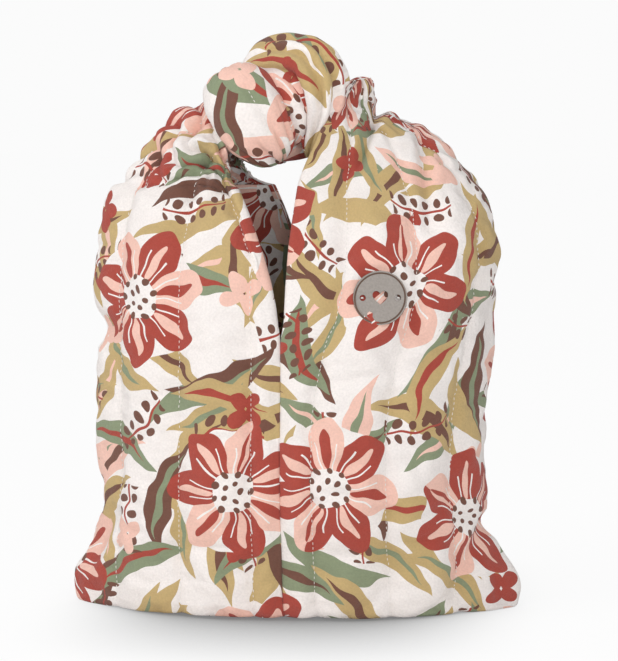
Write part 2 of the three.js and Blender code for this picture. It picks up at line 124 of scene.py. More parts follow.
def connect(node, inputs):
    """Gives each socket a plain value, or links it to a field or to another node's output."""
    for key, value in inputs.items():
        if isinstance(value, Field):
            value = value.socket
        if isinstance(value, bpy.types.NodeSocket):
            node.id_data.links.new(value, node.inputs[key])
        else:
            node.inputs[key].default_value = value


def add_node(tree, kind, inputs=None, **settings):
    """A new node; kind is its type without the word ShaderNode that each of them starts with."""
    node = tree.nodes.new("ShaderNode" + kind)
    for key, value in settings.items():
        setattr(node, key, value)
    connect(node, inputs or {})
    return node


class Field:
    """A number at every point of a surface, held by a node's output, to write sums with."""

    def __init__(self, socket):
        self.socket = socket
        self.tree = socket.id_data

    def apply(self, operation, *others):
        sockets = dict(enumerate((self, *others)))
        node = add_node(self.tree, "Math", sockets, operation=operation)
        return Field(node.outputs[0])

    __add__ = partialmethod(apply, "ADD")
    __sub__ = partialmethod(apply, "SUBTRACT")
    __mul__ = partialmethod(apply, "MULTIPLY")
    __lt__ = partialmethod(apply, "LESS_THAN")
    __gt__ = partialmethod(apply, "GREATER_THAN")
    __abs__ = partialmethod(apply, "ABSOLUTE")

    def __rsub__(self, other):
        return self * -1.0 + other


def split(vector):
    """The x, y and z of a vector output."""
    node = add_node(vector.id_data, "SeparateXYZ", {0: vector})
    return [Field(socket) for socket in node.outputs]


print("material helpers ready")

# %% [markdown]
# ## The white sweep
# The bag stands on a white sweep, with a soft shadow in front of its base. A lamp alone would
# throw the shadow to one side. So the floor glows like the backdrop, and an Ambient Occlusion
# node takes the glow back where the bag is near. The world shows the camera the backdrop's
# white and lights the cloth at a lower level.

# %% Floor
FLOOR_HALF = 6.0
FLOOR_GLOW = 0.93
SHADOW_REACH = 0.11
SHADOW_HALF_WIDTH = 0.1
SHADOW_STRENGTH = 1.2
SHADOW_DARKEST = 0.8
floor_mesh = bpy.data.meshes.new("floor")
shape = bmesh.new()
bmesh.ops.create_grid(shape, x_segments=1, y_segments=1, size=FLOOR_HALF)
shape.to_mesh(floor_mesh)
shape.free()
floor = add_object("floor", floor_mesh)

floor_material, tree, shader = new_material("pale_floor")
floor_mesh.materials.append(floor_material)
connect(shader, {
    "Base Color": (0.9, 0.9, 0.9, 1), "Roughness": 0.9, "Specular IOR Level": 0.0})
here = add_node(tree, "TexCoord")
x, *_ = split(here.outputs["Object"])
cover = add_node(tree, "AmbientOcclusion", {"Distance": SHADOW_REACH}, samples=16)
aside = abs(x * (1 / SHADOW_HALF_WIDTH)).apply("POWER", 4.0)
in_front = (aside * -1.0).apply("EXPONENT")
shadow = (1.0 - Field(cover.outputs["AO"])) * in_front * SHADOW_STRENGTH
shadow = shadow.apply("MINIMUM", SHADOW_DARKEST)
glow = add_node(tree, "Emission", {"Strength": 1.0 - shadow})
rays = add_node(tree, "LightPath")
share = Field(rays.outputs["Is Camera Ray"]) * FLOOR_GLOW
both = add_node(tree, "MixShader", {0: share, 1: shader.outputs[0], 2: glow.outputs[0]})
connect(tree.nodes["Material Output"], {"Surface": both.outputs[0]})
print("floor", 2 * FLOOR_HALF, "m across")

# %% World and lamps
WORLD_LEVEL = 0.52
BACKDROP = linear(251, 251, 251)
LAMPS = (
    # name, place, power and size
    ("key", (-1.2, -1.0, 1.5), 16.5, 1.0),
    ("fill", (0.5, -1.55, 0.4), 9.0, 0.7),
)
world = bpy.data.worlds.new("studio")
scene.world = world
world.use_nodes = True
tree = world.node_tree
room = tree.nodes["Background"]
connect(room, {"Color": (1, 1, 1, 1), "Strength": WORLD_LEVEL})
seen = add_node(tree, "Background", {"Color": BACKDROP})
rays = add_node(tree, "LightPath")
direct = Field(rays.outputs["Is Camera Ray"])
for kind in ("Is Glossy Ray", "Is Transmission Ray"):
    direct = direct.apply("MAXIMUM", Field(rays.outputs[kind]))
both = add_node(tree, "MixShader", {0: direct, 1: room.outputs[0], 2: seen.outputs[0]})
connect(tree.nodes["World Output"], {"Surface": both.outputs[0]})

for name, place, power, size in LAMPS:
    lamp_data = bpy.data.lights.new(name, "AREA")
    lamp_data.energy = power
    lamp_data.size = size
    place_and_aim(add_object(name, lamp_data), place)
print("world and", len(LAMPS), "lamps")

# %% [markdown]
# ## The printed cotton
# The cloth is a soft cotton with a bold flower print on white. A painted image could carry the
# print, but nodes stay sharp close up. They draw on the cloth's own UV map, which is in metres
# along the flat cloth, so the print bends and gathers with it. A Voronoi texture gives each cell
# a centre and a random turn, and each motif is a few sums on the distance from that centre.

# %% Helpers for drawing with nodes
RED = linear(174, 76, 64)
PEACH = linear(247, 202, 186)
BROWN = linear(119, 81, 68)
OLIVE = linear(201, 174, 122)
SAGE = linear(142, 152, 122)
WHITE = linear(249, 242, 238)
ABOVE_ZERO = 8.0


def paint(below, above, mask):
    """Lays one colour over another where the mask is 1."""
    node = add_node(mask.tree, "Mix", {0: mask, 6: below, 7: above}, data_type="RGBA")
    return node.outputs[2]


def scatter(place, cell, jitter, offset):
    """Local x and y round the nearest motif centre, turned at random, and two random numbers."""
    tree = place.id_data
    moved = add_node(tree, "Mapping", {
        "Vector": place, "Location": (*offset, 0), "Rotation": (0, 0, math.radians(offset[0]))})
    cells = add_node(
        tree, "TexVoronoi",
        {"Vector": moved.outputs[0], "Scale": 1 / cell, "Randomness": jitter},
        voronoi_dimensions="2D", feature="F1")
    away = add_node(
        tree, "VectorMath", {0: moved.outputs[0], 1: cells.outputs["Position"]},
        operation="SUBTRACT")
    chance = add_node(tree, "SeparateColor", {0: cells.outputs["Color"]})
    spin, first, second = (Field(socket) for socket in chance.outputs)
    turned = add_node(
        tree, "VectorRotate", {"Vector": away.outputs[0], "Angle": spin * math.tau},
        rotation_type="Z_AXIS")
    x, y, _ = split(turned.outputs[0])
    return x, y, first, second


def around(x, y, count):
    """Folds the plane into sectors: x and y along the nearest spoke, the reach, and the turns."""
    reach = (x * x + y * y).apply("SQRT")
    turns = y.apply("ARCTAN2", x) * (count / math.tau) + ABOVE_ZERO
    angle = (turns.apply("FRACT") - 0.5) * (math.tau / count)
    return reach * angle.apply("COSINE"), reach * angle.apply("SINE"), reach, turns


def oval(x, y, middle, long_half, short_half):
    """A mask of 1 inside an oval that lies along x."""
    lengthways = (x - middle) * (1 / long_half)
    across = y * (1 / short_half)
    return lengthways * lengthways + across * across < 1.0


print("drawing helpers ready")

# %% Leaves and sprigs
LEAVES = (
    # cell, offset, half length, half width, two tones and the heart
    (69, (88, 29), 31, 7.0, (OLIVE, SAGE), PEACH),
    (76, (64, 95), 34, 8.0, (OLIVE, PEACH), BROWN),
    (70, (31, 11), 31, 7.6, (OLIVE, SAGE), BROWN),
    (74, (57, 43), 33, 7.2, (BROWN, OLIVE), SAGE),
    (66, (71, 58), 29, 6.8, (OLIVE, PEACH), SAGE),
    (71, (13, 67), 31, 7.2, (SAGE, OLIVE), RED),
)
LEAF_JITTER = 0.18
LEAF_BEND = 0.009
FIRST_TONE_SHARE = 0.62
HEART_SHARE = 0.75
HEART_WIDTH = 0.5
HEART_INSET = 1.6
SPRIGS = (58, 0.4, (76, 20))
SPRIG_BEND = 0.012
STEM_HALF_WIDTH = 0.6
STEM_HALF_LENGTH = 18.0
BERRY_PITCH = 3.5
BERRY_PAIRS = 17
BERRY_ASIDE = 4.0
BERRY_HALVES = (2.1, 2.5)
BERRIES_REACH = 17.6


def draw_leaves(place, colour):
    """Pointed leaves with a bent midrib, some of them with a coloured heart."""
    for cell, offset, half_length, half_width, tones, heart in LEAVES:
        x, y, first, second = scatter(place, cell, LEAF_JITTER, offset)
        side = abs(y - x * x * LEAF_BEND)
        t = x * (1 / half_length)
        width = (1.0 - t * t) * half_width
        colour = paint(colour, paint(*tones, first > FIRST_TONE_SHARE), side < width)
        inside = side < width * HEART_WIDTH - HEART_INSET
        colour = paint(colour, heart, inside * (second < HEART_SHARE))
    return colour


def draw_sprigs(place, colour):
    """Bent stems with a row of berries on each side."""
    x, y, *_ = scatter(place, *SPRIGS)
    side = abs(y - x * x * SPRIG_BEND)
    stem = (side < STEM_HALF_WIDTH) * (abs(x) < STEM_HALF_LENGTH)
    colour = paint(colour, RED, stem)
    step = (x + BERRY_PAIRS * BERRY_PITCH).apply("PINGPONG", BERRY_PITCH)
    berries = oval(step, side - BERRY_ASIDE, 0.0, *BERRY_HALVES)
    return paint(colour, BROWN, berries * (abs(x) < BERRIES_REACH))


print(len(LEAVES), "layers of leaves")

# %% Buds and blossoms
BUDS = (47, 0.3, (44, 83))
BUD_PETALS = 4
BUD_PETAL = (6.0, 5.4, 4.0)
BUD_MISSED = 0.55
BUD_PALE = 0.55
BLOSSOMS = (106, 0.3, (22, 5))
HALO_REACH = 33.0
PETALS = 7
PETAL = (22.5, 14.5, 10.2)
ROOT_SLOPE = 0.40
ROOT_REACH = 22.0
PALE_STEP = 0.382
PALE_SHARE = 0.36
FLAME = (21.0, 10.0, 2.4)
VEIN_SLOPE = 0.24
VEIN_HALF_WIDTH = 0.4
VEIN_REACH = 24.0
EYE_REACH = 11.0
EYE_DOTS = ((9, 10.2, 1.7), (5, 5.0, 1.6))


def draw_buds(place, colour):
    """Small buds of four petals, in about half of their cells."""
    x, y, first, second = scatter(place, *BUDS)
    px, py, *_ = around(x, y, BUD_PETALS)
    bud = oval(px, py, *BUD_PETAL) * (first > BUD_MISSED)
    return paint(colour, paint(PEACH, RED, second > BUD_PALE), bud)


def draw_blossoms(place, colour):
    """Large blossoms on a white halo: petals, flames, veins and a dotted eye."""
    x, y, *_ = scatter(place, *BLOSSOMS)
    px, py, reach, turns = around(x, y, PETALS)
    root = (abs(py) < px * ROOT_SLOPE) * (reach < ROOT_REACH)
    petals = root.apply("MAXIMUM", oval(px, py, *PETAL))
    pale = (turns.apply("FLOOR") * PALE_STEP).apply("FRACT") < PALE_SHARE
    vein = (abs(abs(py) - px * VEIN_SLOPE) < VEIN_HALF_WIDTH) * (reach < VEIN_REACH)
    colour = paint(colour, WHITE, reach < HALO_REACH)
    colour = paint(colour, paint(RED, PEACH, pale), petals)
    colour = paint(colour, paint(PEACH, RED, pale), oval(px, py, *FLAME) * petals)
    colour = paint(colour, WHITE, vein * petals)
    colour = paint(colour, WHITE, reach < EYE_REACH)
    for count, ring, radius in EYE_DOTS:
        dx, dy, *_ = around(x, y, count)
        colour = paint(colour, BROWN, oval(dx, dy, ring, radius, radius))
    return colour


print("blossoms of", PETALS, "petals")

# %% The cotton itself
PER_METRE = 1000
WANDER = 4.6
MOTTLE = 0.22
YARN_PITCH = 0.62
WEAVE = 0.12


def cloth_noise(place, scale, detail):
    inputs = {"Vector": place, "Scale": scale, "Detail": detail}
    return add_node(place.id_data, "TexNoise", inputs, noise_dimensions="2D")


def printed_cotton(name, shift):
    """Cotton with the print moved by shift, in millimetres."""
    material, tree, shader = new_material(name)
    flat = add_node(tree, "UVMap", uv_map="flat_cloth")
    mapping = add_node(tree, "Mapping", {
        "Vector": flat.outputs[0], "Scale": (PER_METRE,) * 3, "Location": (*shift, 0)})
    place = mapping.outputs[0]

    wander = cloth_noise(place, scale=0.085, detail=0.0)
    drawn = add_node(
        tree, "VectorMath", {0: wander.outputs["Color"], 1: (WANDER, WANDER, 0), 2: place},
        operation="MULTIPLY_ADD")
    colour = WHITE
    for draw in (draw_leaves, draw_sprigs, draw_buds, draw_blossoms):
        colour = draw(drawn.outputs[0], colour)

    mottle = cloth_noise(place, scale=0.9, detail=3.0)
    tone = Field(mottle.outputs["Fac"]) * MOTTLE + (1 - MOTTLE / 2)
    grey = add_node(tree, "CombineColor", {0: tone, 1: tone, 2: tone})
    shade = add_node(
        tree, "Mix", {0: 1.0, 6: colour, 7: grey.outputs[0]},
        data_type="RGBA", blend_type="MULTIPLY")

    x, y, _ = split(place)
    warp, weft = ((way * (math.tau / YARN_PITCH)).apply("SINE") for way in (x, y))
    crinkle = cloth_noise(place, scale=0.34, detail=4.0)
    height = warp * weft * WEAVE + Field(crinkle.outputs["Fac"])
    bump = add_node(tree, "Bump", {"Strength": 0.7, "Distance": 0.0012, "Height": height})
    connect(shader, {
        "Base Color": shade.outputs[2], "Roughness": 0.86, "Specular IOR Level": 0.22,
        "Sheen Weight": 0.12, "Sheen Roughness": 0.5, "Normal": bump.outputs[0]})
    return material


SHIFTS = {"left": (0, 0), "right": (430, 170), "loops": (210, 610), "lining": (820, 350)}
cotton = {name: printed_cotton("printed_cotton_" + name, shift) for name, shift in SHIFTS.items()}
print("printed cotton in", len(cotton["left"].node_tree.nodes), "nodes")

# %% [markdown]
# ## The shape of the two walls
# Each wall is one piece of cloth, from the seam under the base, up the side, and on into its
# loop. It could be sculpted, but the quilting has to stay in straight lines, so it is laid out as
# rows: every row starts at the rolled front edge, goes out round the side and comes back to the
# rear edge. Below the neck a row is level. Above it the left rows fan round towards the knot, and
# the right rows climb into the long loop. Sizes are in millimetres, the same as in the solids.

# %% Sizes of the walls
MM = 0.001
STATIONS = (0, 12, 35, 58, 115, 172, 203, 218, 234, 259)
HALF_WIDTHS = {
    -1: (119.5, 121, 110.5, 105.5, 106.8, 107.5, 105, 101.5, 91, 57.8),
    1: (117.5, 119, 106, 100, 100.5, 104.5, 104.5, 101, 89.5, 57.8),
}
HALF_DEPTHS = (47, 49, 52, 57, 56.5, 52, 39.5, 31.5, 23, 16)
CORNERS = (0.85, 0.8, 0.58, 0.5, 0.5, 0.5, 0.5, 0.5, 0.5, 0.5)
SQUARENESS = (2.5, 2.5, 2.5, 2.5, 2.5, 2.5, 2.8, 3.1, 3.4, 3.4)
MOUTH_FOOT = 146
RIM = {-1: 224, 1: 227}
SEAM_HALF = 0.2
MOUTH = {
    # heights, and how far the rolled edge is from the middle of the bag
    -1: ((MOUTH_FOOT, SEAM_HALF), (165, 3), (177, 6), (191, 11), (211, 20), (RIM[-1], 27)),
    1: ((MOUTH_FOOT, SEAM_HALF), (157, 2.0), (177, 2.2), (197, 2.4), (RIM[1], 4.5)),
}
REAR_LEAN = {-1: 0.4, 1: 0.0}
EDGE_ROLL = 2.2
MOUTH_SWELL = 0.9
MOUTH_SWELLS = (140, 160)
BASE_SEAM = 0.4
BASE_ROWS = 13
BASE_ROUND = 9
BASE_ROUND_ROWS = 5
BASE_TUCK = 6
BASE_TWIST = 0.085
TWIST_FADES = (15, 110)
ROW_STEP = 3.0
print("rims of the walls at", *RIM.values(), "mm")

# %% Level rows, from the base seam to the rim
def along(table, value, stations=STATIONS):
    """A smooth curve through the numbers of a table."""
    xs, ys = np.array(stations, float), np.array(table, float)
    slopes = np.gradient(ys, xs)
    k = int(np.clip(np.searchsorted(xs, value) - 1, 0, len(xs) - 2))
    span = xs[k + 1] - xs[k]
    t = np.clip((value - xs[k]) / span, 0, 1)
    return ((2 * t**3 - 3 * t**2 + 1) * ys[k] + (t**3 - 2 * t**2 + t) * span * slopes[k]
            + (3 * t**2 - 2 * t**3) * ys[k + 1] + (t**3 - t**2) * span * slopes[k + 1])


def ease(low, high, value):
    t = np.clip((value - low) / (high - low), 0, 1)
    return t * t * (3 - 2 * t)


def level_row(side, z, share):
    """A row at one height; share is the part of the full depth that it goes out to."""
    half = along(HALF_WIDTHS[side], z) - BASE_TUCK * (1 - share)
    edge = float(np.interp(z, *zip(*MOUTH[side])))
    return dict(inner=(edge, z), outer=(half, z), depth=along(HALF_DEPTHS, z) * share,
                power=along(CORNERS, z), square=along(SQUARENESS, z), start=edge / half,
                roll=EDGE_ROLL + MOUTH_SWELL * ease(*MOUTH_SWELLS, z), lean=REAR_LEAN[side] * edge)


def wall_rows(side):
    """Rows from the seam under the base up to the rim."""
    rows = []
    depth = along(HALF_DEPTHS, 0)
    flat = depth - BASE_ROUND
    for y in np.linspace(BASE_SEAM, flat, BASE_ROWS):
        rows.append(level_row(side, 0.0, y / depth))
    for turn in np.linspace(1 / BASE_ROUND_ROWS, 1, BASE_ROUND_ROWS) * math.pi / 2:
        z = BASE_ROUND * (1 - math.cos(turn))
        rows.append(level_row(side, z, (flat + BASE_ROUND * math.sin(turn)) / depth))
    count = int((RIM[side] - BASE_ROUND) / ROW_STEP)
    for z in np.linspace(BASE_ROUND, RIM[side], count + 1)[1:]:
        rows.append(level_row(side, z, 1.0))
    return rows


print("base seam to rim:", len(wall_rows(-1)), "rows")

# %% Rows of the left neck, which fan round towards the knot
PIVOT = np.array((30.0, RIM[-1]))
FAN_ANGLES = (0, 3, 11.5, 23, 34, 49, 65, 75)
FAN_REACH = (62.5, 62, 57.5, 53, 52, 50.5, 47, 44)
FAN_END = 76
FAN_ROWS = 50
HOLE_START = 4
HOLE_GROWTH = 7
HOLE_SHIFT = 7
NECK_TOP = dict(depth=19, power=0.5, square=2.4, start=0.05, roll=EDGE_ROLL, lean=0.0)


def fade(first, last, t):
    """The numbers of a row on its way from one row to another."""
    return {key: first[key] * (1 - t) + last[key] * t for key in last}


def left_neck_rows():
    rows = []
    first = level_row(-1, RIM[-1], 1.0)
    for angle in np.linspace(0, FAN_END, FAN_ROWS)[1:]:
        t = angle / FAN_END
        turn = math.radians(angle)
        ray = np.array((math.cos(turn), math.sin(turn)))
        inner = PIVOT - (HOLE_SHIFT * (1 - t), 0) + (HOLE_START + HOLE_GROWTH * t**2) * ray
        outer = PIVOT + along(FAN_REACH, angle, FAN_ANGLES) * ray
        rows.append(dict(inner=tuple(inner), outer=tuple(outer), **fade(first, NECK_TOP, t)))
    return rows


print("left neck:", len(left_neck_rows()), "rows")

# %% Rows of the right shoulder, which climb into the long loop
SHOULDER = (
    # inner x, inner z, outer x, outer z, half depth
    (4.5, 227, 95.5, 227, 26.5),
    (8, 237, 87.5, 238, 24),
    (12, 246, 77, 248.5, 22),
    (15, 254, 66, 256.5, 20),
    (18, 261, 54, 261.5, 17),
    (20, 267, 45, 266, 14),
    (22, 272, 41.5, 271.5, 12),
    (24.5, 276.5, 40.5, 277, 10),
    (28, 280.5, 38, 281, 7),
)
SHOULDER_ROWS = 36
STRAP_TOP = dict(power=0.5, square=2.2, start=0.1, roll=EDGE_ROLL, lean=0.0)


def right_shoulder_rows():
    rows = []
    first = level_row(1, RIM[1], 1.0)
    table = np.array(SHOULDER)
    last = len(SHOULDER) - 1
    for step in np.linspace(0, last, SHOULDER_ROWS)[1:]:
        ix, iz, ox, oz, depth = (along(column, step, range(last + 1)) for column in table.T)
        strap = fade(first, STRAP_TOP, step / last)
        rows.append(dict(inner=(ix, iz), outer=(ox, oz), depth=depth, **strap))
    return rows


print("right shoulder:", len(right_shoulder_rows()), "rows")

# %% [markdown]
# ## Laying cloth on the rows
# The quilting runs in straight rows up each wall, and those rows stay columns of the grid, so
# the stitches can follow them afterwards. A grid from create_grid is moved point by point: its
# column says which quilting strip a point is in, and its row where it is on the way up. The two
# ends of each row roll inwards by half a turn, as the turned edge of the mouth does.

# %% Where the quilting lines fall in a row
PITCH = 40
FIRST_LINE = {-1: 12.8, 1: 14.5}
FIRST_GAP = 3.0
LEAST_PITCH = 3.5
LEAN = 14.5
LEAN_GROWS = (100, 195)
CLOTH_HALF = 128.0
MOST_CUT = 36
MOST_START = 0.98
STRIPS = (5, 12, 12, 20, 12, 12, 5)
HALF_LINES = np.arange(len(STRIPS) // 2)
ROLL_COLUMNS = 5
COLUMNS = 2 * ROLL_COLUMNS + sum(STRIPS)
LINE_COLUMNS = [ROLL_COLUMNS + sum(STRIPS[:k]) for k in range(1, len(STRIPS))]


def outline(side, row, points=500):
    """One row as a fine line of points, from the front edge round to the rear edge."""
    turn = math.asin(min(MOST_START, row["start"]))
    angle = np.linspace(turn, math.pi - turn, points)
    sine = np.sin(angle)
    out = (sine - row["start"]) / (1 - row["start"])
    inner, outer = np.array(row["inner"]), np.array(row["outer"])
    plane = inner + out[:, None] * (outer - inner)
    y = -np.sign(np.cos(angle)) * row["depth"] * np.abs(1 - sine ** row["square"]) ** row["power"]
    rear = ease(0, 0.5 * row["depth"], y) * (1 - out) ** 3
    x, z = side * (plane[:, 0] - row["lean"] * rear), plane[:, 1]
    return np.column_stack((x, y + BASE_TWIST * x * (1 - ease(*TWIST_FADES, z)), z))


def row_columns(side, row, length):
    """Arc distance and flat cloth place of every column of the grid in this row."""
    edge, z = row["inner"]
    roll = math.pi * row["roll"]
    lean = -edge if side < 0 else LEAN * ease(*LEAN_GROWS, z)
    cut = min(-lean, MOST_CUT)
    lines = FIRST_LINE[side] + PITCH * HALF_LINES
    places = np.maximum(lines + lean, FIRST_GAP + LEAST_PITCH * HALF_LINES)
    places *= min(1.0, 0.5 * (length - 2 * roll) / (CLOTH_HALF + min(lean, 0)))
    stops = np.array([0, roll, *(roll + places)])
    stops = np.concatenate((stops, length - stops[::-1]))
    flat = np.array([cut - roll, cut, max(lines[0], cut + FIRST_GAP), *lines[1:]])
    flat = np.concatenate((flat, 2 * CLOTH_HALF - flat[::-1]))
    arc, cloth = [0.0], [flat[0]]
    for k, count in enumerate((ROLL_COLUMNS, *STRIPS, ROLL_COLUMNS)):
        arc += list(np.linspace(stops[k], stops[k + 1], count + 1)[1:])
        cloth += list(np.linspace(flat[k], flat[k + 1], count + 1)[1:])
    return np.array(arc), np.array(cloth)


print(COLUMNS + 1, "columns, quilting lines on columns", LINE_COLUMNS)

# %% Points of a whole wall
def arc_lengths(line):
    """How far along a line of points each of them is."""
    return np.concatenate(([0], np.cumsum(np.linalg.norm(np.diff(line, axis=0), axis=1))))


def on_line(spot, arc, line):
    """The place, or places, so far along a line of points."""
    return np.array([np.interp(spot, arc, axis) for axis in line.T]).T


def wall_points(side, rows):
    """The smooth wall before any quilting: points, and places on the flat cloth, in millimetres."""
    points, cloth = [], []
    climb = 0.0
    before = None
    for row in rows:
        line = outline(side, row)
        arc = arc_lengths(line)
        radius = row["roll"]
        roll = math.pi * radius
        length = arc[-1] - 2 * radius + 2 * roll
        places, flat = row_columns(side, row, length)
        spot = np.clip(places - roll + radius, radius, arc[-1] - radius)
        at = on_line(spot, arc, line)
        out, up = np.subtract(row["outer"], row["inner"])
        plane = np.array((side * out, 0, up)) / math.hypot(out, up)
        room = np.minimum(places, length - places)
        turn = math.pi - np.minimum(room, roll) / radius
        at -= np.outer(radius * np.sin(turn), plane)
        at[:, 1] += np.where(places > length / 2, -radius, radius) * (1 - np.cos(turn))
        middle = at[len(at) // 3]
        climb += 0 if before is None else float(np.linalg.norm(middle - before))
        before = middle
        points.append(at)
        cloth.append(np.column_stack((flat, np.full(len(flat), climb))))
    return np.array(points), np.array(cloth)


def outward_normals(side, points):
    along_row = np.gradient(points, axis=1)
    up = np.gradient(points, axis=0)
    normals = np.cross(along_row, up) * side
    return normals / np.maximum(np.linalg.norm(normals, axis=2, keepdims=True), 1e-9)


left_points, left_flat = wall_points(-1, wall_rows(-1) + left_neck_rows())
right_points, right_flat = wall_points(1, wall_rows(1) + right_shoulder_rows())
print("left wall", left_points.shape, "cloth up to", left_flat[..., 1].max())
print("right wall", right_points.shape, "cloth up to", right_flat[..., 1].max())

# %% [markdown]
# ## Quilting and gathers
# Between two lines of stitching the wadding swells, and at the line the thread pulls the cloth
# in. A simple curve gives the first swelling, and the simulation further down finds the small
# puckers by itself. The gathers of the left neck and the few large creases are pressed in here,
# by formulas and by noise with fixed seeds, so every run gives the same cloth.

# %% Folds and creases
DENTS = ((1.5, 34, 30, 11), (0.7, 13, 11, 17))
PUCKERS = ((2.4, 22, 4.6, 41),)
SLACK = ((2.0, 22, 14, 31), (1.1, 9, 9, 37))
GATHER_WANDER = ((1.0, 30, 40, 23),)
GATHER_ROUGHNESS = ((2.0, 14, 10, 29),)
GATHER_PITCH = 10.5
GATHER_HEIGHT = 6.0
GATHER_ROUND = 0.6
GATHER_LEVEL = 0.66
GATHERS_GROW = (212, 240)
REAR_GATHERS = 0.4
LUMPS_AT = (-40, 240)
LUMP_HEIGHT = 13.0
LUMP_SIZE = 11
LUMP_LEVEL = 0.22
LUMPS_REACH = 24
GROOVE_FOOT = (37, 238)
GROOVE_LEAN = 0.27
GROOVE_DEPTH = 8.0
GROOVE_WIDTH = 3.0
GROOVE_STARTS = (226, 246)
GROOVE_ENDS = (266, 272)
SLACK_GROWS = (215, 250)
CREASES = {
    # two ends as x and z, depth and width: at the base, then at the side or in the shoulder
    -1: ((((-95, 52), (-110, 24)), 4.5, 4.5), (((-120, 146), (-99, 149)), 5.5, 8.0)),
    1: ((((88, 10), (103, 48)), 4.5, 4.5), (((68, 250), (75, 206)), 6.5, 3.4)),
}


def waves(u, v, table, shift=0):
    """Noise on the flat cloth; each row of a table is a height, two lengths and a seed."""
    return sum(height * noise.noise(Vector((u / wide, v / tall, seed + shift)))
               for height, wide, tall, seed in table)


def crease(point, ends, depth, width):
    """A groove along a straight line, seen from the front."""
    start, end = np.array(ends)
    spot = np.array((point[0], point[2]))
    t = np.clip(np.dot(spot - start, end - start) / np.dot(end - start, end - start), 0, 1)
    miss = np.linalg.norm(spot - start - t * (end - start))
    return -depth * math.exp(-(miss / width) ** 2)


def left_fold(point, u, v):
    """Soft rolls across the neck, which draw together towards the knot."""
    x, y, z = point
    phase = v / GATHER_PITCH + waves(u, v, GATHER_WANDER)
    rolls = abs(math.sin(math.pi * phase)) ** GATHER_ROUND - GATHER_LEVEL
    rolls = GATHER_HEIGHT * rolls + waves(u, v, GATHER_ROUGHNESS)
    away = math.hypot(x - LUMPS_AT[0], z - LUMPS_AT[1])
    lumps = LUMP_LEVEL - abs(noise.noise(Vector(point) / LUMP_SIZE))
    lumps *= LUMP_HEIGHT * math.exp(-(away / LUMPS_REACH) ** 2)
    return (ease(*GATHERS_GROW, z) * rolls + lumps) * (REAR_GATHERS if y > 0 else 1.0)


def right_fold(point, u, v):
    """The groove beside the strap, and slack in the shoulder."""
    x, _, z = point
    line = GROOVE_FOOT[0] + (z - GROOVE_FOOT[1]) * GROOVE_LEAN
    groove = GROOVE_DEPTH * math.exp(-((x - line) / GROOVE_WIDTH) ** 2)
    groove *= ease(*GROOVE_STARTS, z) * (1 - ease(*GROOVE_ENDS, z))
    return ease(*SLACK_GROWS, z) * waves(u, v, SLACK) - groove


print(sum(len(rows) for rows in CREASES.values()), "placed creases")

# %% Press the quilting into the walls
label_low, label_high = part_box("label_disc")
label_centre = (label_low + label_high) / 2
LABEL_AT = label_centre * PER_METRE
LABEL_FLAT = (13, 22)
LABEL_PRESS = 0.8
COVER = 0.6
STITCH_DEPTH = 3.8
CREASE_HELD = -1.5
PUCKER_REACH = 8
EDGE_CROWN = 0.35
MOUTH_CROWN = 0.45
MOUTH_CROWNS = (138, 160)
CALM_COLUMNS = 5
BASE_CALM = 0.4
BASE_CALM_TOP = 6


def quilt(side, points, cloth, fold):
    """Moves the points along their normals; fold says how far a place stands out or sinks.
    Gives the new points, and which of them lie in a crease."""
    normals = outward_normals(side, points)
    normals[:, :ROLL_COLUMNS] = normals[:, [ROLL_COLUMNS + 1]]
    normals[:, COLUMNS - ROLL_COLUMNS + 1:] = normals[:, [COLUMNS - ROLL_COLUMNS - 1]]
    rows, columns = points.shape[:2]
    pressed = points.copy()
    creased = np.zeros((rows, columns), bool)
    edges = [ROLL_COLUMNS, *LINE_COLUMNS, COLUMNS - ROLL_COLUMNS]
    lines = cloth[0, LINE_COLUMNS, 0]
    for c in range(columns):
        strip = np.interp(c, edges, range(len(edges)))
        t = strip % 1
        swell = (4 * t * (1 - t)) ** 0.5
        by_edge = min(strip, len(STRIPS) - strip) < 0.5
        from_edge = min(c - ROLL_COLUMNS, COLUMNS - ROLL_COLUMNS - c)
        calm = ease(0, CALM_COLUMNS, from_edge)
        for r in range(rows):
            u, v = cloth[r, c]
            point = points[r, c]
            x, y, z = point
            crown = EDGE_CROWN + MOUTH_CROWN * ease(*MOUTH_CROWNS, z) if by_edge else 0.0
            folded = fold(point, u, v) + sum(crease(point, *row) for row in CREASES[side])
            folded *= calm
            creased[r, c] = folded < CREASE_HELD
            move = -STITCH_DEPTH * (1 - max(swell, crown))
            if from_edge >= 0:
                near = math.exp(-np.abs(lines - u).min() / PUCKER_REACH)
                move += waves(u, v, DENTS, side) + near * waves(u, v, PUCKERS, side) + folded
            if side > 0 and y < 0:
                flat = 1 - ease(*LABEL_FLAT, math.hypot(x - LABEL_AT.x, z - LABEL_AT.z))
                move = move * (1 - flat) - LABEL_PRESS * flat
            move *= BASE_CALM + (1 - BASE_CALM) * ease(0, BASE_CALM_TOP, z)
            pressed[r, c] += normals[r, c] * move
    pressed[..., 2] = np.maximum(pressed[..., 2], COVER)
    return pressed, creased


left_quilted, left_creased = quilt(-1, left_points, left_flat, left_fold)
right_quilted, right_creased = quilt(1, right_points, right_flat, right_fold)
print("deepest press", round(float(np.abs(left_quilted - left_points).max()), 2), "mm")

# %% Turn the points into cloth
def store(shape, mesh):
    """Writes a bmesh into a mesh, with smooth faces, and lets it go."""
    for face in shape.faces:
        face.smooth = True
    shape.to_mesh(mesh)
    shape.free()


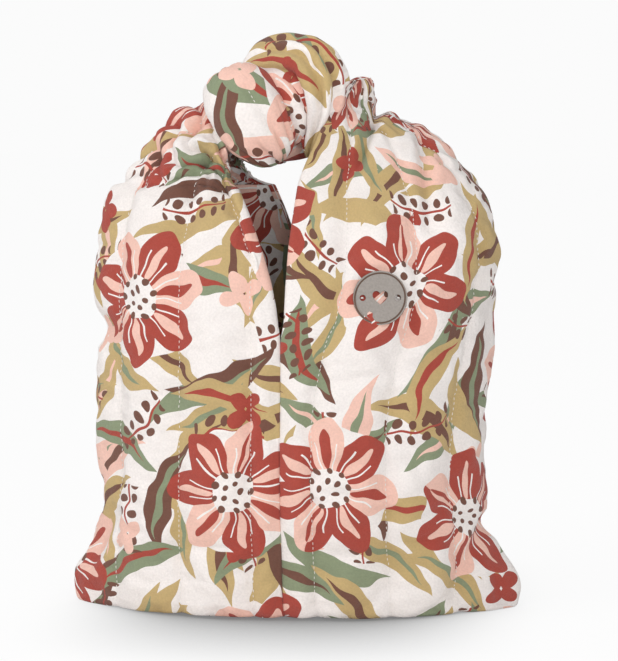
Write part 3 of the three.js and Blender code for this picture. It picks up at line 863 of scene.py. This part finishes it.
def cloth_grid(name, points, cloth, material):
    """A create_grid mesh moved to the points, with the flat cloth as its UV map.
    Gives the piece, and the index of the vertex at each row and column."""
    rows, columns = points.shape[:2]
    shape = bmesh.new()
    bmesh.ops.create_grid(shape, x_segments=columns - 1, y_segments=rows - 1, size=1.0)
    uv = shape.loops.layers.uv.new("flat_cloth")
    shape.verts.index_update()
    place = {}
    index = np.zeros((rows, columns), int)
    for vert in shape.verts:
        c = round((vert.co.x + 1) / 2 * (columns - 1))
        r = round((vert.co.y + 1) / 2 * (rows - 1))
        place[vert.index] = (r, c)
        index[r, c] = vert.index
    for face in shape.faces:
        for loop in face.loops:
            loop[uv].uv = cloth[place[loop.vert.index]] * MM
    for vert in shape.verts:
        vert.co = points[place[vert.index]] * MM
    mesh = bpy.data.meshes.new(name)
    store(shape, mesh)
    mesh.materials.append(material)
    return add_object(name, mesh), index


left_quilt, left_index = cloth_grid("left_quilt", left_quilted, left_flat, cotton["left"])
right_quilt, right_index = cloth_grid(
    "right_quilt", right_quilted[:, ::-1], right_flat[:, ::-1], cotton["right"])
right_index = right_index[:, ::-1]
quilts = (left_quilt, right_quilt)
for piece in quilts:
    print(piece.name, len(piece.data.polygons), "faces")

# %% [markdown]
# ## Let the wadding puff the cloth
# The stitch lines, the rolled edges, the creases, the base and the top are held, and the cloth
# between them gets a little more length than it needs and a light pressure from inside. Blender's
# cloth then buckles into the puckers that quilted cotton has along every line of stitches. Each
# point may move only a few millimetres, so the bag keeps its size, and the result is written back
# into the mesh with no simulation left on it.

# %% Simulate the two walls
SIM_FRAMES = 22
MOST_MOVE = 0.0045
LOOSE_HOLD = 0.04
COTTON_SETTINGS = dict(
    quality=5, mass=0.12, tension_stiffness=14, compression_stiffness=14, shear_stiffness=6,
    bending_stiffness=0.08, air_damping=3, vertex_group_mass="sewn", pin_stiffness=1.0,
    use_pressure=True)


def held_points(index, creased, rows_below, rows_above):
    """Vertices that the thread, the seam or a crease holds."""
    held = creased.copy()
    held[:rows_below] = held[-rows_above:] = True
    held[:, :ROLL_COLUMNS + 2] = held[:, -ROLL_COLUMNS - 2:] = True
    held[:, LINE_COLUMNS] = True
    return index[held].tolist()


def puff(piece, held, growth, pressure):
    """Runs the simulation and writes it into the mesh; gives the longest way before the limit."""
    group = piece.vertex_groups.new(name="sewn")
    group.add(list(range(len(piece.data.vertices))), LOOSE_HOLD, "REPLACE")
    group.add(held, 1.0, "REPLACE")
    cloth = piece.modifiers.new("puff", "CLOTH")
    for key, value in COTTON_SETTINGS.items():
        setattr(cloth.settings, key, value)
    cloth.settings.uniform_pressure_force = pressure
    cloth.settings.shrink_min = -growth
    cloth.settings.effector_weights.gravity = 0
    cloth.collision_settings.use_collision = False
    cloth.point_cache.frame_end = SIM_FRAMES
    for step in range(1, SIM_FRAMES + 1):
        scene.frame_set(step)
    ready = piece.evaluated_get(bpy.context.evaluated_depsgraph_get())
    moved = [vert.co.copy() for vert in ready.data.vertices]
    piece.modifiers.remove(cloth)
    piece.vertex_groups.remove(group)
    most = 0.0
    for vert, new in zip(piece.data.vertices, moved):
        way = new - vert.co
        most = max(most, way.length)
        if way.length > MOST_MOVE:
            way *= MOST_MOVE / way.length
        vert.co += way
    scene.frame_set(1)
    return most


for piece, index, creased in (
    (left_quilt, left_index, left_creased), (right_quilt, right_index, right_creased),
):
    held = held_points(index, creased, rows_below=14, rows_above=2)
    most = puff(piece, held, growth=0.05, pressure=1.6)
    print(piece.name, "moved by up to", round(most * 1000, 2), "mm")

# %% Give the cloth its thickness
def smooth_out(piece):
    smooth = piece.modifiers.new("smooth", "SUBSURF")
    smooth.levels = smooth.render_levels = 1


def thicken(piece, thickness):
    wall = piece.modifiers.new("wall", "SOLIDIFY")
    wall.thickness = thickness * MM
    wall.offset = -1


for piece in quilts:
    for vert in piece.data.vertices:
        vert.co.z = max(vert.co.z, COVER * MM)
    smooth_out(piece)
    thicken(piece, COVER)
print("cover", COVER, "mm thick")

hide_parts("left_outer_panel", "left_wadding")
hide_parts("right_outer_panel", "right_wadding")
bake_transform(left_quilt)
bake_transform(right_quilt)

# %% [markdown]
# ## Quilting thread
# White thread lies in each line as short stitches with gaps between. Dots in the print would
# look flat, so a stitch is a small bead, drawn out along the line, and one mesh holds all the
# stitches of a wall. They are set on the settled cloth, a little proud of it, and move with it.

# %% Stitches along a line
STITCH_PITCH = 0.0027
STITCH_HALF = 0.00088
THREAD_HALF = 0.00022
THREAD_LIFT = 0.6
BEAD = dict(u_segments=6, v_segments=4)
PROBE = 0.004


def stitch_line(mesh, surface, line, out):
    """Stitches along one line of points, set on the surface; they are added to the mesh."""
    shape = bmesh.new()
    arc = arc_lengths(line)
    for s in np.arange(STITCH_PITCH, arc[-1], STITCH_PITCH):
        at = Vector(on_line(s, arc, line))
        on = Vector(on_line(s + STITCH_HALF, arc, line))
        up = Vector(on_line(s, arc, out)).normalized()
        run = (on - at).normalized()
        at = surface.ray_cast(at + up * PROBE, -up, 2 * PROBE)[0] or at
        across = run.cross(up).normalized()
        turn = Matrix((run * STITCH_HALF, across * THREAD_HALF, up * THREAD_HALF)).transposed()
        turn = Matrix.Translation(at + up * THREAD_HALF * THREAD_LIFT) @ turn.to_4x4()
        bmesh.ops.create_uvsphere(shape, radius=1, matrix=turn, **BEAD)
    bmesh.ops.recalc_face_normals(shape, faces=shape.faces)
    shape.from_mesh(mesh)
    store(shape, mesh)


print("a stitch every", STITCH_PITCH, "m")

# %% Sew the lines
def sew(name, piece, lines):
    """One mesh of thread for a piece; a line is its points and the directions out of the cloth."""
    surface = BVHTree.FromObject(piece, bpy.context.evaluated_depsgraph_get())
    mesh = bpy.data.meshes.new(name)
    for line, out in lines:
        stitch_line(mesh, surface, line, out)
    mesh.materials.append(thread_material)
    thread = add_object(name, mesh)
    print(name, len(mesh.polygons) // math.prod(BEAD.values()), "stitches")
    return thread


def quilting_lines(piece, index, side, first_row, last_row):
    spots = np.array([vert.co[:] for vert in piece.data.vertices])[index]
    normals = outward_normals(side, spots)
    rows = slice(first_row, last_row)
    return [(spots[rows, column], normals[rows, column]) for column in LINE_COLUMNS]


thread_material, tree, shader = new_material("white_thread")
here = add_node(tree, "TexCoord")
ply = add_node(tree, "TexNoise", {"Vector": here.outputs["Object"], "Scale": 2500})
colour = paint(linear(226, 220, 212), linear(246, 243, 240), Field(ply.outputs["Fac"]))
connect(shader, {"Base Color": colour, "Roughness": 0.8})

lines = quilting_lines(left_quilt, left_index, -1, first_row=15, last_row=-14)
left_thread = sew("left_quilting_thread", left_quilt, lines)
lines = quilting_lines(right_quilt, right_index, 1, first_row=15, last_row=-12)
right_thread = sew("right_quilting_thread", right_quilt, lines)
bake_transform(left_thread)
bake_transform(right_thread)

# %% [markdown]
# ## The lining
# Inside, the walls are lined with the same cotton. The lining hangs from the rolled edge and is
# seen through the mouth, mostly in shade. A copy of the outer wall would carry its quilting, so
# the lining has rows of its own, a wall's thickness further in, and stays smooth.

# %% Lay the lining inside the walls
LINING = 0.5
LINING_INSET = 6.2
LINING_SIDE_INSET = 8
LINING_CORNER_INSET = 8
LINING_CORNER_TOP = 58
LINING_FLOOR = 6.6
LINING_EDGE = 0.6
LINING_ROLL = 0.4


def lining_rows(side):
    rows = []
    for row in wall_rows(side):
        edge, z = row["inner"]
        corner = LINING_CORNER_INSET * (1 - ease(0, LINING_CORNER_TOP, z))
        half = row["outer"][0] - LINING_SIDE_INSET - corner
        edge += 0.0 if z < MOUTH_FOOT else LINING_EDGE
        height = max(z, LINING_FLOOR)
        depth = max(0.5, row["depth"] - LINING_INSET)
        rows.append(dict(row, inner=(edge, height), outer=(half, height), depth=depth,
                         start=edge / half, roll=LINING_ROLL))
    return rows


linings = []
for side, name in ((-1, "left_inner_cloth"), (1, "right_inner_cloth")):
    points, cloth = wall_points(side, lining_rows(side))
    piece, _ = cloth_grid(name, points[:, ::side], cloth[:, ::side], cotton["lining"])
    thicken(piece, LINING)
    linings.append(piece)
    print(name, len(piece.data.polygons), "faces")
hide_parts("left_lining")
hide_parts("right_lining")
for piece in linings:
    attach(piece, "bag")

# %% [markdown]
# ## The knot
# The short loop is pulled tight round the long one, so its padded strap swells into a ball, and
# the end of the long loop stands up beside it as a small arch. A bevelled curve would keep one
# section all the way, so a padded strap is a soft tube instead: a grid is wrapped round a curved
# path, its two sides are welded, and the width and thickness change along the way.

# %% A soft tube along a path
TUBE_SQUARENESS = 2.2
TUBE_GIRTH = 1.4
TUBE_BUMPS = ((0.6, 8, 0), (1.0, 19, 7))
TUBE_CORE = 6
WELD = 2e-5


def rounded(share):
    """A step on the way round a soft square section."""
    return math.copysign(abs(share) ** (2 / TUBE_SQUARENESS), share)


def loop_tube(name, stations, around_count, along_count, pleats=None, turn=0, shift=(0, 0)):
    """Stations are x, y, z, width and thickness; turn is that of the width round the path."""
    table = np.array(stations, float)
    keys = range(len(stations))
    steps = np.linspace(0, len(stations) - 1, along_count)
    path = np.array([[along(column, s, keys) for column in table.T] for s in steps])
    tangent = np.gradient(path[:, :3], axis=0)
    tangent /= np.linalg.norm(tangent, axis=1, keepdims=True)
    length = arc_lengths(path[:, :3])
    points = np.zeros((along_count, around_count + 1, 3))
    cloth = np.zeros((along_count, around_count + 1, 2))
    across = np.cross(tangent[0], (0, -1, 0))
    girth = (path[:, 3] + path[:, 4]).max() * TUBE_GIRTH
    turn = math.radians(turn)
    for r in range(along_count):
        across = across - tangent[r] * np.dot(across, tangent[r])
        across /= np.linalg.norm(across)
        lift = np.cross(across, tangent[r])
        wide = across * math.cos(turn) + lift * math.sin(turn)
        deep = lift * math.cos(turn) - across * math.sin(turn)
        for c in range(around_count + 1):
            angle = math.tau * (c % around_count) / around_count
            x = rounded(math.cos(angle)) * path[r, 3] / 2
            y = rounded(math.sin(angle)) * path[r, 4] / 2
            out = wide * x + deep * y
            spot = path[r, :3] + out
            swell = 0.0 if pleats is None else pleats(r / (along_count - 1), angle)
            for height, size, seed in TUBE_BUMPS:
                swell += height * noise.noise(Vector(spot) / size + Vector((0, 0, seed)))
            reach = math.hypot(x, y)
            points[r, c] = spot + out / max(reach, 1e-6) * swell * min(1, reach / TUBE_CORE)
            cloth[r, c] = (girth * c / around_count + shift[0], length[r] + shift[1])
    piece, _ = cloth_grid(name, points, cloth, cotton["loops"])
    shape = bmesh.new()
    shape.from_mesh(piece.data)
    bmesh.ops.remove_doubles(shape, verts=shape.verts, dist=WELD)
    edges = [edge for edge in shape.edges if edge.is_boundary]
    bmesh.ops.holes_fill(shape, edges=edges, sides=0)
    bmesh.ops.recalc_face_normals(shape, faces=shape.faces)
    store(shape, piece.data)
    smooth_out(piece)
    print(name, len(piece.data.polygons), "faces")
    return piece


# %% The short loop, swollen into a ball in front and at the back
BALL_MIDDLE = (-22.5, 16.0, 262.5)
BALL_AXIS = np.array((0.54, 0, -0.842))
BALL_STEPS = (-1.0, -0.95, -0.82, -0.5, 0, 0.5, 0.82, 0.96, 1.02)
BALL_UPPER = 26
BALL_LOWER = 28
BALL_WIDTH = 41
BALL_THICKNESS = 31
BALL_BEND = 5
BALL_TAPER = 0.2
BALL_END = 0.03
BALL_SQUARE = 3.4
BALL_ROUND = 0.33
LOWER_PLEATS = (0.46, 0.82)
LOWER_PLEAT_DEPTH = 5.0
UPPER_PLEATS = (0.08, 0.3)
UPPER_PLEAT_DEPTH = 2.0


def ball_pleats(t, angle):
    """Pleats that draw together at the lower end of the ball, and softer ones at its upper end."""
    lower = LOWER_PLEAT_DEPTH * ease(*LOWER_PLEATS, t)
    lower *= abs(math.cos(angle * 6.5 + 1.2 * math.sin(2 * angle))) ** 6
    upper = UPPER_PLEAT_DEPTH * (1 - ease(*UPPER_PLEATS, t))
    upper *= abs(math.cos(angle * 4.5)) ** 4
    return -lower - upper


def ball_stations(face, size):
    """The strap swells along an axis from its upper left end to the pinch at its lower right;
    face is -1 in front and 1 at the back."""
    middle = np.array(BALL_MIDDLE) * (1, face, 1)
    stations = []
    for s in BALL_STEPS:
        full = max(BALL_END, 1 - min(1, abs(s)) ** BALL_SQUARE) ** BALL_ROUND
        full *= 1 - BALL_TAPER * max(0, s)
        place = middle + BALL_AXIS * (BALL_UPPER if s < 0 else BALL_LOWER) * s
        place[1] -= face * BALL_BEND * s * s
        stations.append((*place, BALL_WIDTH * size * full, BALL_THICKNESS * size * full))
    return stations


short_front = loop_tube(
    "short_loop_front", ball_stations(-1, 1.0), 96, 72, ball_pleats, shift=(130, 95))
short_back = loop_tube(
    "short_loop_back", ball_stations(1, 0.94), 56, 60, ball_pleats, shift=(300, 0))

# %% Folds between the ball and the arch, and the turn of the short loop
short_fold = loop_tube("short_loop_fold", (
    (-19, -8, 286, 3, 3), (-13, -11, 284, 10, 8), (-3.5, -14, 274, 13, 10),
    (2.5, -13, 262, 12, 9), (2.5, -8, 252, 8, 6), (0, -5, 247, 2, 2)), 28, 52, shift=(20, 300))
short_fold_inner = loop_tube("short_loop_fold_inner", (
    (-10, -5, 289, 3, 3), (-4, -8, 286, 9, 8), (5, -12, 274, 12, 10),
    (8.5, -11, 262, 10, 8), (6.5, -7, 252, 7, 6), (3, -4, 247, 2, 2)), 28, 52, shift=(40, 60))
short_turn = loop_tube("short_loop_turn", (
    (-9, -14, 262, 20, 9), (-3.5, -6, 264, 19, 9), (-3.5, 0, 264, 18, 9),
    (-3.5, 6, 264, 19, 9), (-9, 14, 262, 20, 9)), 24, 30, turn=90, shift=(90, 20))
short_pieces = (short_front, short_back, short_fold, short_fold_inner, short_turn)
for piece in short_pieces:
    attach(piece, "short_handle")

# %% The quilting line over the ball
BALL_LINE = ((-0.0215, 0.277), (-0.0175, 0.270), (-0.0125, 0.262), (-0.0095, 0.254))
BALL_LINE_DEPTH = 0.0016
BALL_LINE_WIDTH = 0.0022
IN_FRONT = -0.08
surface = BVHTree.FromObject(short_front, bpy.context.evaluated_depsgraph_get())
hits = [surface.ray_cast(Vector((x, IN_FRONT, z)), Vector((0, 1, 0)))[:2] for x, z in BALL_LINE]
line, out = (np.array([hit[k][:] for hit in hits]) for k in range(2))
last = len(line) - 1
fine = [Vector(on_line(s, range(last + 1), line)) for s in np.linspace(0, last, 40)]
for vert in short_front.data.vertices:
    near = min((vert.co - spot).length for spot in fine)
    vert.co.y += BALL_LINE_DEPTH * math.exp(-(near / BALL_LINE_WIDTH) ** 2)
ball_thread = sew("ball_quilting_thread", short_front, [(line, out)])
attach(ball_thread, "short_handle")
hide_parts("short_handle_front_cover", "short_handle_front_wadding")
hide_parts("short_handle_back_cover", "short_handle_back_wadding")

# %% The arch and the strand that comes back down
ARCH_GATHERS = (0.14, 0.48)
ARCH_SWELL = 1.2
ARCH_PLEAT_DEPTH = 5.4


def arch_pleats(t, angle):
    """Deep pleats that draw together towards the knot."""
    fold = abs(math.cos(angle * 4 + 0.5 * math.sin(2 * angle) + 1.4 * t)) ** 5
    return (ARCH_SWELL - ARCH_PLEAT_DEPTH * fold) * ease(*ARCH_GATHERS, t)


long_arch = loop_tube("long_loop_arch", (
    (-24, 3, 268, 10, 8), (-22, 0, 279, 20, 20), (-16.5, -3, 288.5, 23, 26),
    (-4.5, -6, 292, 25, 30), (7.5, -8, 288.5, 27, 31), (14, -10, 278, 27, 29),
    (15, -10, 266, 21, 23), (12, -9, 256, 14, 15), (9, -8, 247, 9, 9),
    (7, -6, 240, 3, 3)), 56, 110, arch_pleats, shift=(210, 60))
long_return = loop_tube("long_loop_return", (
    (34, -4, 268, 15, 10), (34, 0, 275, 15, 10), (31, 8, 276, 15, 10), (16, 17, 262, 14, 11),
    (4, 13, 246, 13, 11), (-8, 3, 243.5, 12, 9), (-18, 0.5, 247, 12, 9),
    (-22, 0, 256, 12, 9)), 32, 64, shift=(60, 90))
for piece in (long_arch, long_return):
    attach(piece, "long_handle")
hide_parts("long_handle_back_cover", "long_handle_back_wadding")
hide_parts("long_handle_front_cover", "long_handle_front_wadding")

# %% [markdown]
# ## The leather label
# A round tag of grey leather is sewn on through two holes. The solid already has its disc, ring
# and heart, so the node stays, and only its finish is new: a fine grain, a burnt brown on every
# cut edge, which the direction of a face tells, and the burnt ring, drawn by the distance from
# the disc's centre.

# %% Leather
RING_RADIUS = 0.0126
RING_HALF_WIDTH = 0.00042
RIM_RADIUS = 0.01375
CUT_FACING = 0.5
BURNT = linear(92, 66, 50)
label_material, tree, shader = new_material("grey_leather")
here = add_node(tree, "TexCoord").outputs["Object"]
offset = add_node(tree, "VectorMath", {0: here, 1: label_centre}, operation="SUBTRACT")
x, _, z = split(offset.outputs[0])
across = (x * x + z * z).apply("SQRT")
ring = abs(across - RING_RADIUS) < RING_HALF_WIDTH
label_face = max(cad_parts["label_disc"].data.polygons, key=lambda face: face.area).normal
surface = add_node(tree, "NewGeometry")
facing = add_node(
    tree, "VectorMath", {0: surface.outputs["True Normal"], 1: label_face},
    operation="DOT_PRODUCT")
cut = abs(Field(facing.outputs["Value"])) < CUT_FACING
burnt = cut.apply("MAXIMUM", ring.apply("MAXIMUM", across > RIM_RADIUS))
grain = add_node(tree, "TexNoise", {"Vector": here, "Scale": 900, "Detail": 4})
grain = Field(grain.outputs["Fac"])
grey = paint(linear(130, 123, 117), linear(162, 154, 147), grain)
bump = add_node(tree, "Bump", {"Strength": 0.4, "Distance": 0.0004, "Height": grain})
connect(shader, {
    "Base Color": paint(grey, BURNT, burnt), "Roughness": 0.62, "Normal": bump.outputs[0]})

for name in ("label_disc", "label_thread_left", "label_thread_right"):
    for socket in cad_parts[name].material_slots:
        socket.material = label_material if name == "label_disc" else thread_material
print("label at", tuple(round(v, 4) for v in label_centre))

# %% [markdown]
# ## The pieces, counted
# The walls and linings are sheets of cloth, and the straps are padded. The last line prints how
# many of each there are.

print("four sheets and", len(short_pieces) + 2, "padded pieces")
